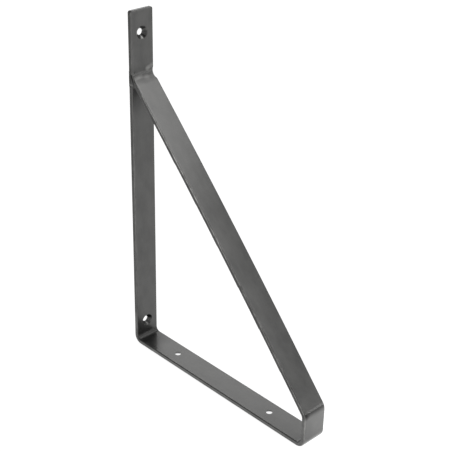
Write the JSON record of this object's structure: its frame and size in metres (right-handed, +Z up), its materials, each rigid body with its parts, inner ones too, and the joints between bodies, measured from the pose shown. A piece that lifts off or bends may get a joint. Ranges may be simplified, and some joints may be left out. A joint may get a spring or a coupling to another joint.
{
  "type": "shelf bracket",
  "caption": "Triangular wall bracket folded from flat steel bar: upright, shelf arm, up-turned front lip and a sloping brace that rises to the wall.",
  "frame": {"origin": "on the wall plane, in the middle of the bar's width, midway between the two wall screw holes", "axes": "+X away from the wall along the shelf arm, +Y across the bar, +Z up the wall"},
  "size_m": [0.272, 0.03, 0.4],
  "materials": {
    "steel": "bare hot-rolled steel with a dark, oiled, half-gloss surface"
  },
  "bodies": {
    "root": {"shelf_bracket": "steel"}
  },
  "joints": []
}
